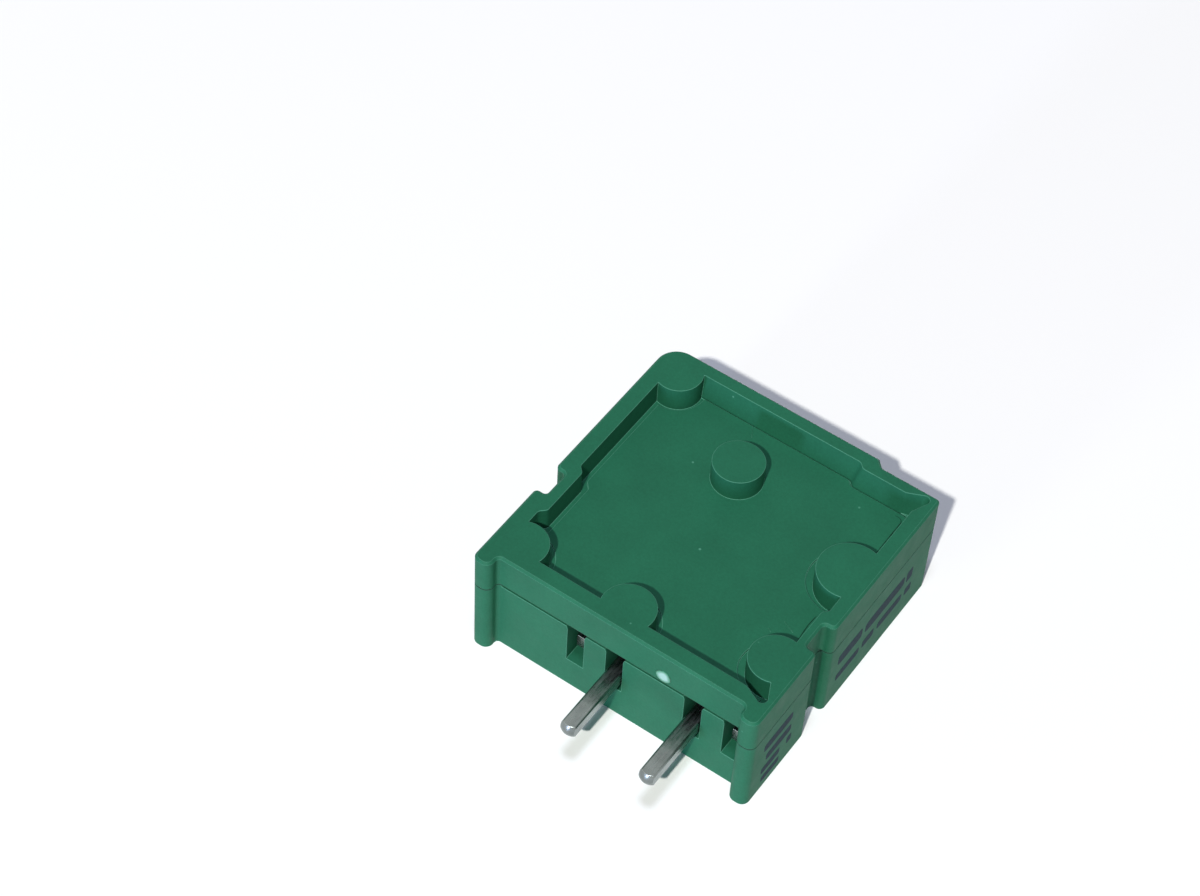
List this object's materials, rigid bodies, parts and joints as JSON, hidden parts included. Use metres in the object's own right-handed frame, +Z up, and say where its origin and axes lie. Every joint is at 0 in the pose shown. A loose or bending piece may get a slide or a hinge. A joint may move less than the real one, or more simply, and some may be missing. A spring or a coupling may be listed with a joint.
{
  "type": "terminal block",
  "caption": "Screw terminal block for a printed board: moulded housing with cover, wire funnel, screwdriver hole and long square solder pins, with a screw-driven clamp inside.",
  "frame": {"origin": "middle of the footprint, solder pins included, on the broad face that the block lies on", "axes": "+X along the row of solder pins, +Y from the pins to the side where the wire and the screwdriver go in, +Z up through the cover"},
  "size_m": [0.018, 0.0222, 0.0076],
  "materials": {
    "green_plastic": "moulded, fine matt grain",
    "tinned_copper": "tin-plated, bright, punched edges",
    "plated_steel": "zinc-plated strip",
    "screw_steel": "zinc-plated, turned",
    "plated_brass": "nickel-plated"
  },
  "bodies": {
    "block": {"housing": "green_plastic", "cover": "green_plastic", "contact_bar": "tinned_copper", "clamp_frame": "plated_steel"},
    "screw": {"clamp_screw": "screw_steel"},
    "wedge": {"clamp_wedge": "plated_brass"},
    "jaw": {"clamp_jaw": "plated_steel"}
  },
  "joints": [
    {"name": "screw_turn", "type": "hinge", "parent": "block", "child": "screw", "pos_m": [0.0032, 0.007, 0.0032], "axis": [0, -1, 0], "range_deg": [0, 2640]},
    {"name": "wedge_slide", "type": "slide", "parent": "block", "child": "wedge", "axis": [0, 1, 0], "range_m": [0, 0.00367]},
    {"name": "jaw_slide", "type": "slide", "parent": "block", "child": "jaw", "axis": [-1, 0, 0], "range_m": [0, 0.0022]}
  ],
  "couplings": [
    {"joint": "screw_turn", "follows": "wedge_slide", "rad_per_m": 12566},
    {"joint": "jaw_slide", "follows": "wedge_slide", "ratio": 0.6}
  ]
}
